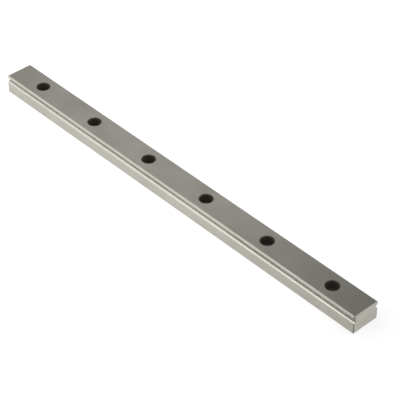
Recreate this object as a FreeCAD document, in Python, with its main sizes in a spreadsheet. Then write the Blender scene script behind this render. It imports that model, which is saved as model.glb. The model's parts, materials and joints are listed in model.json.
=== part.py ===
# Miniature linear guide rail of the 15 mm class: one bar of hardened steel, ground all over,
# with a gothic-arch ball raceway along each side and a row of counterbored screw holes.
# Millimetres. X runs along the rail, Y across it and Z up; the origin is the middle of the base.
import FreeCAD, Part
import math
import os
import Sketcher

NODE = "guide_rail"
SAME_PLACE = 1e-4

DRIVING_SIZES = [
    ("rail_length", 240, "cut length, from end face to end face"),
    ("rail_width", 15, "width over the two ground sides"),
    ("rail_height", 10, "height from the base to the top face"),
    ("top_chamfer", 0.6, "bevel along both top edges"),
    ("base_chamfer", 0.4, "bevel along both bottom edges"),
    ("end_chamfer", 0.35, "bevel round the outline of each end face"),
    ("ball_diameter", 3.175, "balls that the raceway is ground for"),
    ("raceway_conformity", 0.52, "raceway radius as a share of the ball diameter"),
    ("contact_angle", 45, "degrees from the width to the line where a ball touches"),
    ("raceway_height", 7.35, "centre of the ball track above the base"),
    ("raceway_outset", 0.45, "centre of the ball track outside the ground side"),
    ("relief_width", 1.2, "width of the grinding relief along the bottom of the raceway"),
    ("relief_depth", 0.3, "depth of that relief below the raceway"),
    ("hole_pitch", 40, "distance from one screw hole to the next"),
    ("end_distance", 20, "first screw hole from the end face at the negative end"),
    ("screw_hole_diameter", 3.5, "clearance hole for the screw's shank"),
    ("counterbore_diameter", 6.5, "counterbore for the screw's head"),
    ("counterbore_depth", 4.5, "depth of the counterbore below the top face"),
    ("mouth_chamfer", 0.3, "edge break at both mouths of each screw hole"),
]

# Formulas of the sheet's sizes. The arch shift is how far each arc's centre of the gothic arch
# stands from the ball's centre, so that the ball touches both arcs at the contact angle.
RACEWAY_RADIUS = "Sizes.raceway_conformity * Sizes.ball_diameter"
ARCH_GAP = "(Sizes.raceway_conformity - 0.5) * Sizes.ball_diameter"
ARCH_OUT = f"{ARCH_GAP} * cos(Sizes.contact_angle * 1 deg)"
ARCH_UP = f"{ARCH_GAP} * sin(Sizes.contact_angle * 1 deg)"
BALL_CENTRE = "Sizes.rail_width / 2 + Sizes.raceway_outset"
ARC_CENTRE = f"{BALL_CENTRE} + {ARCH_OUT}"
RELIEF_FLOOR = f"{ARC_CENTRE} - {RACEWAY_RADIUS} - Sizes.relief_depth"
FIRST_HOLE = "Sizes.rail_length / 2 - Sizes.end_distance"
HOLE_COUNT = (
    "floor((Sizes.rail_length - Sizes.end_distance - Sizes.counterbore_diameter)"
    " / Sizes.hole_pitch) + 1"
)

# How a sketch constraint names the points of a line or arc, the level axis and the origin
START, END, CENTRE = 1, 2, 3
LEVEL_AXIS = -1
ORIGIN = (LEVEL_AXIS, START)

doc = FreeCAD.newDocument("linear_guide_rail")


def fill_sheet():
    """The spreadsheet of driving dimensions, one row each: what it is, and its value by name."""
    sheet = doc.addObject("Spreadsheet::Sheet", "Sizes")
    for row, (alias, value, meaning) in enumerate(DRIVING_SIZES, start=1):
        sheet.set(f"A{row}", meaning)
        sheet.set(f"B{row}", str(value))
        sheet.setAlias(f"B{row}", alias)
    doc.recompute()
    return sheet


def origin_plane(body, role):
    return next(plane for plane in body.Origin.OriginFeatures if plane.Role == role)


def new_sketch(body, name, role):
    sketch = body.newObject("Sketcher::SketchObject", name)
    sketch.AttachmentSupport = (origin_plane(body, role), [""])
    sketch.MapMode = "FlatFace"
    return sketch


def line(start, end):
    return Part.LineSegment(FreeCAD.Vector(*start, 0), FreeCAD.Vector(*end, 0))


def arc(centre, radius, start, end):
    """The arc about a centre that runs anticlockwise from over start to over end."""
    circle = Part.Circle(FreeCAD.Vector(*centre, 0), FreeCAD.Vector(0, 0, 1), radius)
    angles = [math.atan2(y - centre[1], x - centre[0]) for x, y in (start, end)]
    return Part.ArcOfCircle(circle, *angles)


def join(sketch, pairs):
    for first, second in pairs:
        sketch.addConstraint(Sketcher.Constraint("Coincident", *first, *second))


def dimension(sketch, name, kind, where, formula):
    """A named dimension of a sketch, held to a formula of the sheet's sizes."""
    value = sketch.evalExpression(formula)
    index = sketch.addConstraint(Sketcher.Constraint(kind, *where, float(value)))
    sketch.renameConstraint(index, name)
    sketch.setExpression(f"Constraints.{name}", formula)


def edges_where(feature, chosen):
    """The names of a feature's edges that pass a test."""
    numbered = enumerate(feature.Shape.Edges, start=1)
    return [f"Edge{number}" for number, edge in numbered if chosen(edge)]


def chamfer(body, name, base, chosen, size):
    """Bevel the chosen edges of the base feature by one of the sheet's sizes."""
    bevel = body.newObject("PartDesign::Chamfer", name)
    bevel.Base = (base, edges_where(base, chosen))
    bevel.setExpression("Size", f"Sizes.{size}")
    doc.recompute()
    return bevel


def require_cut(before, after):
    """A cut that points away from the solid removes nothing and shows no error, so it is measured."""
    if after.Shape.Volume > before.Shape.Volume - SAME_PLACE:
        raise RuntimeError(f"{after.Label} removed nothing")


def pad_blank(body, sheet):
    """The bar before its raceways: a rectangle on the base line, padded evenly about the middle."""
    side = sheet.get("rail_width") / 2
    top = sheet.get("rail_height")
    corners = [(-side, 0), (side, 0), (side, top), (-side, top)]
    sketch = new_sketch(body, "blank_section", "YZ_Plane")
    for start, end in zip(corners, corners[1:] + corners[:1]):
        sketch.addGeometry(line(start, end))
    sides = base_line, right_side, top_line, left_side = range(4)
    join(sketch, [((side, END), (following, START)) for side, following in zip(sides, (1, 2, 3, 0))])
    for level, upright in ((base_line, right_side), (top_line, left_side)):
        sketch.addConstraint(Sketcher.Constraint("Horizontal", level))
        sketch.addConstraint(Sketcher.Constraint("Vertical", upright))
    middle_of_base = ("Symmetric", base_line, START, base_line, END, *ORIGIN)
    sketch.addConstraint(Sketcher.Constraint(*middle_of_base))
    dimension(sketch, "width", "DistanceX", (base_line, START, base_line, END), "Sizes.rail_width")
    dimension(sketch, "height", "DistanceY", (right_side, START, right_side, END), "Sizes.rail_height")
    pad = body.newObject("PartDesign::Pad", "blank")
    pad.Profile = (sketch, [""])
    pad.SideType = "Symmetric"
    pad.setExpression("Length", "Sizes.rail_length")
    doc.recompute()
    return pad


def cut_raceways(body, sheet, base):
    """A gothic arch with a relief at its bottom, cut along one side and mirrored to the other.

    The arch is two arcs whose centres stand apart, so a ball touches it above and below and
    never at the bottom, where the relief leaves room for the grinding wheel's corner.
    """
    sketch = new_sketch(body, "raceway_section", "YZ_Plane")
    ball = sketch.evalExpression(BALL_CENTRE)
    across = sketch.evalExpression(ARC_CENTRE)
    up = sketch.evalExpression(ARCH_UP)
    radius = sketch.evalExpression(RACEWAY_RADIUS)
    floor = sketch.evalExpression(RELIEF_FLOOR)
    middle = sheet.get("raceway_height")
    half_relief = sheet.get("relief_width") / 2
    reach = math.sqrt(radius**2 - (across - ball) ** 2)
    inward = across - math.sqrt(radius**2 - (half_relief + up) ** 2)
    low_mouth = (ball, middle + up - reach)
    high_mouth = (ball, middle - up + reach)
    low_corner = (inward, middle - half_relief)
    high_corner = (inward, middle + half_relief)
    low_floor = (floor, middle - half_relief)
    high_floor = (floor, middle + half_relief)
    lower, low_wall, relief, high_wall, upper, mouth = range(6)
    sketch.addGeometry(arc((across, middle + up), radius, low_corner, low_mouth))
    sketch.addGeometry(line(low_corner, low_floor))
    sketch.addGeometry(line(low_floor, high_floor))
    sketch.addGeometry(line(high_floor, high_corner))
    sketch.addGeometry(arc((across, middle - up), radius, high_mouth, high_corner))
    sketch.addGeometry(line(high_mouth, low_mouth))
    join(
        sketch,
        [
            ((lower, START), (low_wall, START)),
            ((low_wall, END), (relief, START)),
            ((relief, END), (high_wall, START)),
            ((high_wall, END), (upper, END)),
            ((upper, START), (mouth, START)),
            ((mouth, END), (lower, END)),
        ],
    )
    for wall in (low_wall, high_wall):
        sketch.addConstraint(Sketcher.Constraint("Horizontal", wall))
    for upright in (relief, mouth):
        sketch.addConstraint(Sketcher.Constraint("Vertical", upright))
    sketch.addConstraint(Sketcher.Constraint("Vertical", lower, CENTRE, upper, CENTRE))
    sketch.addConstraint(Sketcher.Constraint("Equal", lower, upper))
    track = "Sizes.raceway_height"
    dimension(sketch, "arch_radius", "Radius", (lower,), RACEWAY_RADIUS)
    dimension(sketch, "arc_centre", "DistanceX", (*ORIGIN, lower, CENTRE), ARC_CENTRE)
    dimension(sketch, "low_centre", "DistanceY", (*ORIGIN, lower, CENTRE), f"{track} + {ARCH_UP}")
    dimension(sketch, "high_centre", "DistanceY", (*ORIGIN, upper, CENTRE), f"{track} - {ARCH_UP}")
    dimension(sketch, "mouth_out", "DistanceX", (*ORIGIN, mouth, START), BALL_CENTRE)
    dimension(sketch, "relief_in", "DistanceX", (*ORIGIN, relief, START), RELIEF_FLOOR)
    half = "Sizes.relief_width / 2"
    dimension(sketch, "relief_low", "DistanceY", (*ORIGIN, relief, START), f"{track} - {half}")
    dimension(sketch, "relief_high", "DistanceY", (*ORIGIN, relief, END), f"{track} + {half}")
    raceway = body.newObject("PartDesign::Pocket", "raceway")
    raceway.Profile = (sketch, [""])
    raceway.SideType = "Symmetric"
    raceway.Type = "ThroughAll"
    doc.recompute()
    require_cut(base, raceway)
    both = body.newObject("PartDesign::Mirrored", "both_raceways")
    both.Originals = [raceway]
    both.MirrorPlane = (origin_plane(body, "XZ_Plane"), [""])
    body.Tip = both
    doc.recompute()
    require_cut(raceway, both)
    return both


def drill_holes(body, sheet, base):
    """Counterbored through-holes at the pitch, from end_distance on, while the length has room."""
    sketch = new_sketch(body, "first_hole_centre", "XY_Plane")
    sketch.setExpression("AttachmentOffset.Base.z", "Sizes.rail_height")
    first = -sketch.evalExpression(FIRST_HOLE)
    radius = sheet.get("screw_hole_diameter") / 2
    up = FreeCAD.Vector(0, 0, 1)
    sketch.addGeometry(Part.Circle(FreeCAD.Vector(first, 0, 0), up, radius))
    sketch.addConstraint(Sketcher.Constraint("PointOnObject", 0, CENTRE, LEVEL_AXIS))
    dimension(sketch, "from_middle", "DistanceX", (0, CENTRE, *ORIGIN), FIRST_HOLE)
    dimension(sketch, "shank", "Diameter", (0,), "Sizes.screw_hole_diameter")
    doc.recompute()
    hole = body.newObject("PartDesign::Hole", "screw_hole")
    hole.Profile = (sketch, [""])
    hole.DepthType = "ThroughAll"
    hole.HoleCutType = "Counterbore"
    hole.HoleCutCustomValues = True
    hole.setExpression("Diameter", "Sizes.screw_hole_diameter")
    hole.setExpression("HoleCutDiameter", "Sizes.counterbore_diameter")
    hole.setExpression("HoleCutDepth", "Sizes.counterbore_depth")
    doc.recompute()
    require_cut(base, hole)
    row = body.newObject("PartDesign::LinearPattern", "hole_row")
    row.Originals = [hole]
    row.Direction = (sketch, ["H_Axis"])
    row.Mode = "Spacing"
    row.setExpression("Offset", "Sizes.hole_pitch")
    row.setExpression("Occurrences", HOLE_COUNT)
    body.Tip = row
    doc.recompute()
    require_cut(hole, row)
    return row


def build_rail():
    sheet = fill_sheet()
    top = sheet.get("rail_height")
    end = sheet.get("rail_length") / 2

    def lengthwise_at(height):
        """A test for the edges that run the whole length of the rail at one height."""

        def test(edge):
            level = all(abs(point.Z - height) < SAME_PLACE for point in edge.Vertexes)
            return level and abs(edge.Length - 2 * end) < SAME_PLACE

        return test

    def on_end_face(edge):
        """The outline of either end face, but no edge that runs from one end to the other."""
        along = [point.X for point in edge.Vertexes]
        return abs(abs(sum(along)) / len(along) - end) < SAME_PLACE

    def hole_mouth(edge):
        """The circles where the holes meet the top face and the base."""
        height = edge.Vertexes[0].Z
        level = abs(height - top) < SAME_PLACE or abs(height) < SAME_PLACE
        return level and isinstance(edge.Curve, Part.Circle)

    body = doc.addObject("PartDesign::Body", NODE)
    body.Label = NODE
    bar = pad_blank(body, sheet)
    bar = chamfer(body, "top_edges", bar, lengthwise_at(top), "top_chamfer")
    bar = chamfer(body, "base_edges", bar, lengthwise_at(0), "base_chamfer")
    bar = chamfer(body, "end_edges", bar, on_end_face, "end_chamfer")
    bar = cut_raceways(body, sheet, bar)
    bar = drill_holes(body, sheet, bar)
    chamfer(body, "hole_mouths", bar, hole_mouth, "mouth_chamfer")
    doc.recompute()
    return body


def checked(body):
    """Stop if any object failed to rebuild or the rail isn't one sound solid."""
    failed = [o.Label for o in doc.Objects if {"Invalid", "Error"} & set(o.State)]
    if failed:
        raise RuntimeError(f"failed to rebuild: {', '.join(failed)}")
    shape = body.Shape
    if shape.isNull() or not shape.isValid() or len(shape.Solids) != 1:
        raise RuntimeError(f"{body.Label} isn't one valid solid")
    return shape


rail = build_rail()
rail_shape = checked(rail)
os.makedirs("parts", exist_ok=True)
rail_shape.exportStep(f"parts/{rail.Label}.step")
box = rail_shape.BoundBox
print(f"{rail.Label}: {box.XLength:.3f} x {box.YLength:.3f} x {box.ZLength:.3f} mm")
print(f"volume {rail_shape.Volume:.1f} mm3, {len(rail_shape.Faces)} faces")
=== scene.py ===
import json
import math

import bpy
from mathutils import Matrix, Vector


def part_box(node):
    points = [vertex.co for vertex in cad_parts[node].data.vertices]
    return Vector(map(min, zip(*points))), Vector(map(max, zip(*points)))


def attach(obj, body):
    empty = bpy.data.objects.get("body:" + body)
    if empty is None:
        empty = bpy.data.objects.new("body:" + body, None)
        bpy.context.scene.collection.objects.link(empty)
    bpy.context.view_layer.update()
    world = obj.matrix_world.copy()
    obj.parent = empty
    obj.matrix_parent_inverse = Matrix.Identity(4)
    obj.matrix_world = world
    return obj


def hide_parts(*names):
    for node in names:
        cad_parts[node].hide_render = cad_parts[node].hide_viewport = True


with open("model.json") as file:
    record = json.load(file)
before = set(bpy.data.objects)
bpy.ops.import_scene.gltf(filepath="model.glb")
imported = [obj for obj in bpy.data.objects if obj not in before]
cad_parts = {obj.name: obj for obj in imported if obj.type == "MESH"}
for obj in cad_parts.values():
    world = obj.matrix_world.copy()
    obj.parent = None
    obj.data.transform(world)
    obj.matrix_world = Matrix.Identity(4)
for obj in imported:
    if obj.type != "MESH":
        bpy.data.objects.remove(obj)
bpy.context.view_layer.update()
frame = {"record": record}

# The bar: one length of high-carbon bearing steel, hardened right through and then ground on its
# base, both sides and top, with its long edges bevelled in the same pass. Its two ends are cut
# off with an abrasive wheel, which leaves them duller, and bevelled all round by hand.
MM = 0.001
bar_low, bar_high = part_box("guide_rail")
bar_length, bar_width, bar_height = bar_high - bar_low
bar_middle = (bar_low + bar_high) / 2
top_bevel = 0.6 * MM
base_bevel = 0.4 * MM
end_bevel = 0.35 * MM
# Points nearer to each other than this are in the same place.
same_place = 0.001 * MM


def add_shape(operator, **settings):
    """Add a primitive with nothing else selected, and put its place and size into its mesh."""
    bpy.ops.object.select_all(action="DESELECT")
    operator(**settings)
    bpy.ops.object.transform_apply(location=True, rotation=True, scale=True)
    return bpy.context.object


def select_edges(piece, chosen):
    """Open edit mode with just those edges selected whose two ends pass a test."""
    bpy.ops.object.mode_set(mode="EDIT")
    bpy.ops.mesh.select_mode(type="EDGE")
    bpy.ops.mesh.select_all(action="DESELECT")
    bpy.ops.object.mode_set(mode="OBJECT")
    points = piece.data.vertices
    for edge in piece.data.edges:
        first, second = edge.vertices
        edge.select = chosen(points[first].co, points[second].co)
    bpy.ops.object.mode_set(mode="EDIT")


def bevel(piece, chosen, offset):
    """Flatten the chosen edges of a piece at 45 degrees."""
    select_edges(piece, chosen)
    bpy.ops.mesh.bevel(offset=offset, segments=1, affect="EDGES")
    bpy.ops.object.mode_set(mode="OBJECT")


def lengthwise(first, second):
    """Whether an edge runs from one end of the bar to the other."""
    return abs(first.x - second.x) > bar_length / 2


def on_top(first, second):
    """Whether an edge runs along the top of the bar."""
    return lengthwise(first, second) and min(first.z, second.z) > bar_high.z - same_place


def on_base(first, second):
    """Whether an edge runs along the base of the bar."""
    return lengthwise(first, second) and max(first.z, second.z) < bar_low.z + same_place


def on_end(first, second):
    """Whether an edge is one of the edges round an end of the bar."""
    outermost = min(abs(first.x), abs(second.x)) > bar_high.x - same_place
    return outermost and not lengthwise(first, second)


rail = add_shape(
    bpy.ops.mesh.primitive_cube_add,
    size=1,
    location=bar_middle,
    scale=(bar_length, bar_width, bar_height),
)
rail.name = "rail"
bevel(rail, on_top, top_bevel)
bevel(rail, on_base, base_bevel)
bevel(rail, on_end, end_bevel)


def hex_colour(code):
    """The linear colour of an sRGB hex value."""
    shares = [int(code[start : start + 2], 16) / 255 for start in (1, 3, 5)]
    linear = [s / 12.92 if s <= 0.04045 else ((s + 0.055) / 1.055) ** 2.4 for s in shares]
    return (*linear, 1.0)


def add_node(tree, kind, inputs, **settings):
    """Add a node with its settings, and give each named input a value or another node's output."""
    node = tree.nodes.new(kind)
    for name, value in settings.items():
        setattr(node, name, value)
    for name, value in inputs.items():
        if isinstance(value, bpy.types.NodeSocket):
            tree.links.new(value, node.inputs[name])
        else:
            node.inputs[name].default_value = value
    return node


# A Mix node has sockets of the same names for numbers and for colours, so they go by their place.
MIX_SHARE, MIX_FIRST_COLOUR, MIX_SECOND_COLOUR = 0, 6, 7
MIXED_COLOUR = 2
mark_detail = 3.0
cloud_size = 12 * MM
cloud_detail = 2.0
# Marks and clouds each run from 0 to 1, and nearly all of their sum lies between these two.
dullest_sum = 0.7
palest_sum = 1.3


def steel_surface(name, pale, dull, smooth, rough, mark_size, mark_depth, metallic=1.0):
    """Steel with the marks that its making left, which vary its tone and its shine.

    mark_size is how long one mark is along X, Y and Z, and mark_depth how deep it is. Handling and
    oil lay faint clouds over the marks.
    """
    material = bpy.data.materials.new(name)
    material.use_nodes = True
    tree = material.node_tree
    shader = tree.nodes["Principled BSDF"]
    place = add_node(tree, "ShaderNodeTexCoord", {}).outputs["Object"]
    per_mark = [1 / size for size in mark_size]
    stretched = add_node(tree, "ShaderNodeMapping", {"Vector": place, "Scale": per_mark}).outputs["Vector"]
    drawn = {"Vector": stretched, "Scale": 1.0, "Detail": mark_detail}
    marks = add_node(tree, "ShaderNodeTexNoise", drawn).outputs["Fac"]
    wiped = {"Vector": place, "Scale": 1 / cloud_size, "Detail": cloud_detail}
    clouds = add_node(tree, "ShaderNodeTexNoise", wiped).outputs["Fac"]
    both = add_node(tree, "ShaderNodeMath", {0: marks, 1: clouds}, operation="ADD").outputs["Value"]
    spread = {"Value": both, "From Min": dullest_sum, "From Max": palest_sum}
    share = add_node(tree, "ShaderNodeMapRange", spread).outputs["Result"]
    tones = {MIX_SHARE: share, MIX_FIRST_COLOUR: hex_colour(dull), MIX_SECOND_COLOUR: hex_colour(pale)}
    colour = add_node(tree, "ShaderNodeMix", tones, data_type="RGBA").outputs[MIXED_COLOUR]
    shine = {"Value": share, "To Min": rough, "To Max": smooth}
    roughness = add_node(tree, "ShaderNodeMapRange", shine).outputs["Result"]
    relief = {"Height": marks, "Distance": mark_depth, "Strength": 1.0}
    bump = add_node(tree, "ShaderNodeBump", relief).outputs["Normal"]
    shader.inputs["Metallic"].default_value = metallic
    tree.links.new(colour, shader.inputs["Base Color"])
    tree.links.new(roughness, shader.inputs["Roughness"])
    tree.links.new(bump, shader.inputs["Normal"])
    return material


def select_faces(piece, chosen):
    """Open edit mode with just those faces selected that pass a test."""
    bpy.ops.object.mode_set(mode="EDIT")
    bpy.ops.mesh.select_mode(type="FACE")
    bpy.ops.mesh.select_all(action="DESELECT")
    bpy.ops.object.mode_set(mode="OBJECT")
    for face in piece.data.polygons:
        face.select = chosen(face)
    bpy.ops.object.mode_set(mode="EDIT")


def finish_faces(piece, material, chosen):
    """Give the chosen faces of a piece one more material."""
    piece.data.materials.append(material)
    select_faces(piece, chosen)
    piece.active_material_index = len(piece.data.materials) - 1
    bpy.ops.object.material_slot_assign()
    bpy.ops.object.mode_set(mode="OBJECT")


# How much of a face's normal lies along an axis that the face is square to, or slants to.
SQUARE = 0.99
SLANTED = 0.4


def is_upright_bevel(face):
    """Whether a face is a bevel at a corner of the bar, between one of its sides and an end."""
    return min(abs(face.normal.x), abs(face.normal.y)) > SLANTED


# Surface-ground steel: grit lines along the bar, too fine to tell apart, so it has a soft, even,
# slightly warm shine. Real lines are about 0.02 mm wide and 0.001 mm deep, and they are drawn
# coarser, at about the same slope, to show at all.
ground_steel = steel_surface(
    "surface_ground_steel",
    pale="#b0ada5",
    dull="#a8a59c",
    smooth=0.28,
    rough=0.32,
    mark_size=(30 * MM, 0.4 * MM, 0.4 * MM),
    mark_depth=0.01 * MM,
)
# Wheel-cut steel: the cutting wheel's lines run across the end and blur what it mirrors.
cut_steel = steel_surface(
    "wheel_cut_steel",
    pale="#bcb9b0",
    dull="#aca9a0",
    smooth=0.34,
    rough=0.42,
    mark_size=(0.5 * MM, 5 * MM, 0.6 * MM),
    mark_depth=0.003 * MM,
)
# Upright bevels: the bevels between the sides and the ends are drawn a dark, dull brown-grey.
dark_bevel_steel = steel_surface(
    "darkened_bevel_steel",
    pale="#807c75",
    dull="#6b6760",
    smooth=0.4,
    rough=0.5,
    mark_size=(1 * MM, 1 * MM, 1 * MM),
    mark_depth=0.002 * MM,
)
rail.data.materials.append(ground_steel)
finish_faces(rail, cut_steel, lambda face: abs(face.normal.x) > SQUARE)
finish_faces(rail, dark_bevel_steel, is_upright_bevel)

# The raceways: a ball track along each side, profile-ground to a gothic arch, which is two arcs
# whose centres stand apart so that a ball touches above and below. The relief along the bottom is
# milled before hardening and never ground, and the lips are broken with an oilstone.
ball_diameter = 3.175 * MM
arch_radius = 0.52 * ball_diameter
contact_angle = math.radians(45)
track_outset = 0.45 * MM
relief_width = 1.2 * MM
relief_depth = 0.3 * MM
lip_break = 0.1 * MM
arc_sides = 192
stone_width = 1 * MM
overrun = 2 * MM
mounts = {mount["name"]: mount for mount in frame["record"]["mounts"]}
track_height = mounts["carriage_raceways"]["pos_m"][2]
arch_gap = arch_radius - ball_diameter / 2
arc_out = bar_high.y + track_outset + arch_gap * math.cos(contact_angle)
arc_up = arch_gap * math.sin(contact_angle)
relief_floor = arc_out - arch_radius - relief_depth
lip_rise = math.sqrt(arch_radius**2 - (arc_out - bar_high.y) ** 2) - arc_up
stone_out = (stone_width / math.sqrt(2) - lip_break) / 2


def use(piece):
    """Make a piece the only one selected, and the active one."""
    bpy.ops.object.select_all(action="DESELECT")
    bpy.context.view_layer.objects.active = piece
    piece.select_set(True)


def mill(piece, tool, operation="DIFFERENCE"):
    """Cut a piece with a tool, or cross the two. The new faces get the tool's material."""
    use(piece)
    cut = piece.modifiers.new("cut", "BOOLEAN")
    cut.object = tool
    cut.operation = operation
    cut.solver = "EXACT"
    cut.material_mode = "TRANSFER"
    bpy.ops.object.modifier_apply(modifier=cut.name)


# Profile-ground steel: finer grit than on the flats, so the track is the brightest stripe.
raceway_steel = steel_surface(
    "profile_ground_steel",
    pale="#b6b4ad",
    dull="#adaba4",
    smooth=0.2,
    rough=0.27,
    mark_size=(40 * MM, 0.3 * MM, 0.3 * MM),
    mark_depth=0.005 * MM,
)
# Milled and hardened steel: not ground since the furnace, so it is matt, and makes a plain grey
# line along the bottom of the bright track.
unground_steel = steel_surface(
    "milled_hardened_steel",
    pale="#d3d0c9",
    dull="#c1beb7",
    smooth=0.45,
    rough=0.6,
    mark_size=(3 * MM, 0.5 * MM, 0.5 * MM),
    mark_depth=0.004 * MM,
)


def add_arc(height):
    """A bar-shaped tool of the arch's radius that lies along one side of the rail."""
    arc = add_shape(
        bpy.ops.mesh.primitive_cylinder_add,
        vertices=arc_sides,
        radius=arch_radius,
        depth=bar_length + overrun,
        location=(0, arc_out, height),
        rotation=(0, math.pi / 2, 0),
    )
    arc.data.materials.append(raceway_steel)
    return arc


# Two wheels of one radius, one a little above the other, have the arch's shape where they overlap.
arch_wheel = add_arc(track_height + arc_up)
upper_wheel = add_arc(track_height - arc_up)
mill(arch_wheel, upper_wheel, "INTERSECT")
relief_cutter = add_shape(
    bpy.ops.mesh.primitive_cube_add,
    size=1,
    location=(0, (relief_floor + bar_high.y) / 2, track_height),
    scale=(bar_length + overrun, bar_high.y - relief_floor, relief_width),
)
relief_cutter.data.materials.append(unground_steel)


def add_stone(up):
    """A square stone held on edge against a lip: the upper one, or with up = -1 the lower one."""
    stone = add_shape(
        bpy.ops.mesh.primitive_cube_add,
        size=1,
        location=(0, bar_high.y + stone_out, track_height + up * (lip_rise - stone_out)),
        rotation=(math.pi / 4, 0, 0),
        scale=(bar_length + overrun, stone_width, stone_width),
    )
    stone.data.materials.append(ground_steel)
    return stone


tools = [arch_wheel, relief_cutter, add_stone(up=1), add_stone(up=-1)]
for tool in tools:
    mill(rail, tool)
    use(tool)
    bpy.ops.transform.rotate(value=math.pi, orient_axis="Z", center_override=(0, 0, 0))
    bpy.ops.object.transform_apply(location=True, rotation=True, scale=True)
    mill(rail, tool)
for tool in (*tools, upper_wheel):
    bpy.data.objects.remove(tool)
# Near-black steel: above the raceway only a thin lip is left, and there the upright bevels are drawn
# nearly black.
near_black_bevel_steel = steel_surface(
    "near_black_bevel_steel",
    pale="#47423b",
    dull="#34302a",
    smooth=0.45,
    rough=0.55,
    mark_size=(1 * MM, 1 * MM, 1 * MM),
    mark_depth=0.002 * MM,
)
finish_faces(rail, near_black_bevel_steel, lambda face: is_upright_bevel(face) and face.center.z > track_height)

# The screw holes: through-holes for the screws that hold the rail down, counterbored so that the
# heads sink below the top, with both mouths chamfered. They are drilled before hardening.
shank = mounts["screw_hole_1"]["dims"]["r_mm"] * MM
head = 3.25 * MM
head_depth = 4.5 * MM
mouth_bevel = 0.3 * MM
drill_sides = 128
clear = 1 * MM
seat = bar_high.z - head_depth
# Hardening scale: the furnace's black oxide, which no wheel reaches in a hole. Dark and dull.
hardening_scale = steel_surface(
    "hardening_scale",
    pale="#585249",
    dull="#453f39",
    smooth=0.5,
    rough=0.7,
    mark_size=(0.5 * MM, 0.5 * MM, 0.5 * MM),
    mark_depth=0.01 * MM,
    metallic=0.0,
)
drill = add_shape(
    bpy.ops.mesh.primitive_cylinder_add,
    vertices=drill_sides,
    radius=shank,
    depth=seat - mouth_bevel,
    location=(0, 0, (seat + mouth_bevel) / 2),
)
drill.data.materials.append(hardening_scale)


def widen(rise, spread):
    """Draw the selected end of the drill out along its axis, and spread it about that axis."""
    bpy.ops.mesh.extrude_region_move(TRANSFORM_OT_translate={"value": (0, 0, rise)})
    bpy.ops.transform.resize(value=(spread, spread, 1), center_override=(0, 0, 0))


select_faces(drill, lambda face: face.normal.z < -SQUARE)
widen(-mouth_bevel - clear, (shank + mouth_bevel + clear) / shank)
bpy.ops.object.mode_set(mode="OBJECT")
select_faces(drill, lambda face: face.normal.z > SQUARE)
widen(0, head / shank)
widen(head_depth - mouth_bevel, 1)
widen(mouth_bevel + clear, (head + mouth_bevel + clear) / head)
bpy.ops.object.mode_set(mode="OBJECT")
for mount in mounts.values():
    if mount["kind"] == "bore":
        drill.location.x = mount["pos_m"][0]
        bpy.context.view_layer.update()
        mill(rail, drill)
bpy.data.objects.remove(drill)

# The finished bar is one mesh. Points that the cuts doubled are merged, and where its faces meet at
# less than this angle, it is shaded smooth.
smooth_below = math.radians(20)
select_faces(rail, lambda face: True)
bpy.ops.mesh.remove_doubles(threshold=same_place / 2)
bpy.ops.mesh.normals_make_consistent(inside=False)
bpy.ops.object.mode_set(mode="OBJECT")
bpy.ops.object.shade_smooth_by_angle(angle=smooth_below)
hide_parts("guide_rail")
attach(rail, "root")

# The table: a sheet of white acrylic. It glows for camera, glossy and transmission rays, so it shows white
# to the camera and in what mirrors it.
# The glow is a painted pool of light: full as far as the rail's middle, and fading a little towards the
# rail's near end.
# The sheet keeps a faint shadow of the rail.
table_reach = 3.0
table_drop = 0.05 * MM
far_glow = 1.0
near_glow = 0.76
table = add_shape(bpy.ops.mesh.primitive_plane_add, size=2 * table_reach, location=(0, 0, -table_drop))
table.name = "table"
acrylic = bpy.data.materials.new("white_acrylic")
acrylic.use_nodes = True
tree = acrylic.node_tree
tree.nodes.clear()
rays = add_node(tree, "ShaderNodeLightPath", {}).outputs
direct = {0: rays["Is Camera Ray"], 1: rays["Is Glossy Ray"]}
looked_at = add_node(tree, "ShaderNodeMath", direct, operation="ADD").outputs["Value"]
through = {0: looked_at, 1: rays["Is Transmission Ray"]}
seen = add_node(tree, "ShaderNodeMath", through, operation="ADD", use_clamp=True).outputs["Value"]
place = add_node(tree, "ShaderNodeTexCoord", {}).outputs["Object"]
along = add_node(tree, "ShaderNodeSeparateXYZ", {"Vector": place}).outputs["X"]
# Painted light: the table's glow is full as far as the rail's middle and fades towards its near end.
fade = {
    "Value": along,
    "From Min": bar_middle.x,
    "From Max": bar_high.x,
    "To Min": far_glow,
    "To Max": near_glow,
}
painted_glow_fade = add_node(tree, "ShaderNodeMapRange", fade).outputs["Result"]
glow = add_node(tree, "ShaderNodeMath", {0: seen, 1: painted_glow_fade}, operation="MULTIPLY").outputs["Value"]
lit = add_node(tree, "ShaderNodeBsdfDiffuse", {"Color": hex_colour("#9a9a9a")}).outputs["BSDF"]
white = add_node(tree, "ShaderNodeEmission", {"Strength": glow}).outputs["Emission"]
both = add_node(tree, "ShaderNodeAddShader", {0: lit, 1: white}).outputs["Shader"]
add_node(tree, "ShaderNodeOutputMaterial", {"Surface": both})
table.data.materials.append(acrylic)

# The studio: a dim room, with walls paler than its ceiling, and softboxes about the table. Ground
# steel shows little but what it mirrors, so most of them stand where one of the rail's surfaces
# mirrors them.
wall_level = 0.56
ceiling_level = 0.165
ceiling_start = 0.5
world = bpy.data.worlds.new("studio")
world.use_nodes = True
bpy.context.scene.world = world
room = world.node_tree
direction = add_node(room, "ShaderNodeTexCoord", {}).outputs["Generated"]
upward = add_node(room, "ShaderNodeSeparateXYZ", {"Vector": direction}).outputs["Z"]
dimming = {"Value": upward, "From Max": ceiling_start, "To Min": wall_level, "To Max": ceiling_level}
shade = add_node(room, "ShaderNodeMapRange", dimming, interpolation_type="SMOOTHSTEP").outputs["Result"]
room.nodes["Background"].inputs["Color"].default_value = (1, 1, 1, 1)
room.links.new(shade, room.nodes["Background"].inputs["Strength"])


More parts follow.
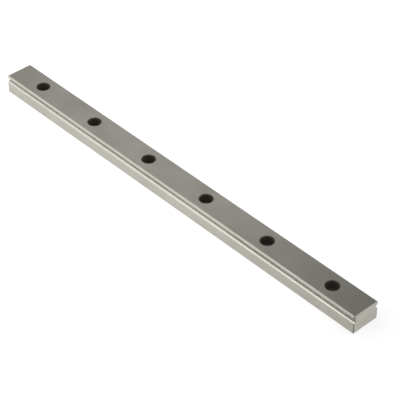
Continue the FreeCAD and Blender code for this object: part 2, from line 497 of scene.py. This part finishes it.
def from_direction(azimuth, elevation):
    """The unit vector from the rail towards a place; azimuth 0 is before its front side."""
    turn, rise = math.radians(azimuth), math.radians(elevation)
    return Vector((math.sin(turn) * math.cos(rise), -math.cos(turn) * math.cos(rise), math.sin(rise)))


def add_softbox(name, azimuth, elevation, distance, width, height, level):
    """A rectangular lamp that faces the rail. At level 1 its surface is as bright as white."""
    away = from_direction(azimuth, elevation)
    bpy.ops.object.light_add(type="AREA", location=away * distance)
    lamp = bpy.context.object
    lamp.name = name
    lamp.rotation_euler = away.to_track_quat("Z", "Y").to_euler()
    lamp.data.shape = "RECTANGLE"
    lamp.data.size = width
    lamp.data.size_y = height
    lamp.data.energy = level * math.pi * width * height


# For the front bevel and raceway, and for their near end.
add_softbox("left_softbox", azimuth=-52, elevation=36, distance=1.0, width=0.72, height=0.85, level=1.45)
add_softbox("fore_softbox", azimuth=-20, elevation=55, distance=0.75, width=0.45, height=0.45, level=1.05)
# For the front raceway's lower lip.
add_softbox("end_softbox", azimuth=-92, elevation=55, distance=0.8, width=0.4, height=0.4, level=1.1)
# For the top, as the camera sees it and as it looks from above.
add_softbox("back_card", azimuth=229, elevation=38, distance=1.2, width=0.48, height=0.32, level=0.82)
add_softbox("overhead_softbox", azimuth=0, elevation=88, distance=1.3, width=1.0, height=0.7, level=0.6)
# To fill in from behind and from the camera's side.
add_softbox("right_softbox", azimuth=135, elevation=48, distance=1.2, width=1.4, height=1.2, level=1.01)
add_softbox("camera_softbox", azimuth=47, elevation=50, distance=1.4, width=1.1, height=0.7, level=0.5)

# The camera: a long lens from over the near end's front corner. Its place and focal length were
# fitted to the rail's edges and holes in the photo.
view_azimuth = 47.21
view_elevation = 39.77
view_distance = 0.7447
aim_right = 10.77 * MM
aim_up = -10.01 * MM
focal_pixels = 1594.4
photo_pixels = 400
film_width = 36
back = from_direction(view_azimuth, view_elevation)
turn = back.to_track_quat("Z", "Y")
aim = Vector((0, 0, bar_high.z)) + turn @ Vector((aim_right, aim_up, 0))
bpy.ops.object.camera_add(location=aim + back * view_distance)
camera = bpy.context.object
camera.rotation_euler = turn.to_euler()
camera.data.sensor_width = film_width
camera.data.lens = film_width * focal_pixels / photo_pixels
camera.data.clip_start = 0.01
bpy.context.scene.camera = camera
bpy.context.scene.view_settings.view_transform = "Standard"
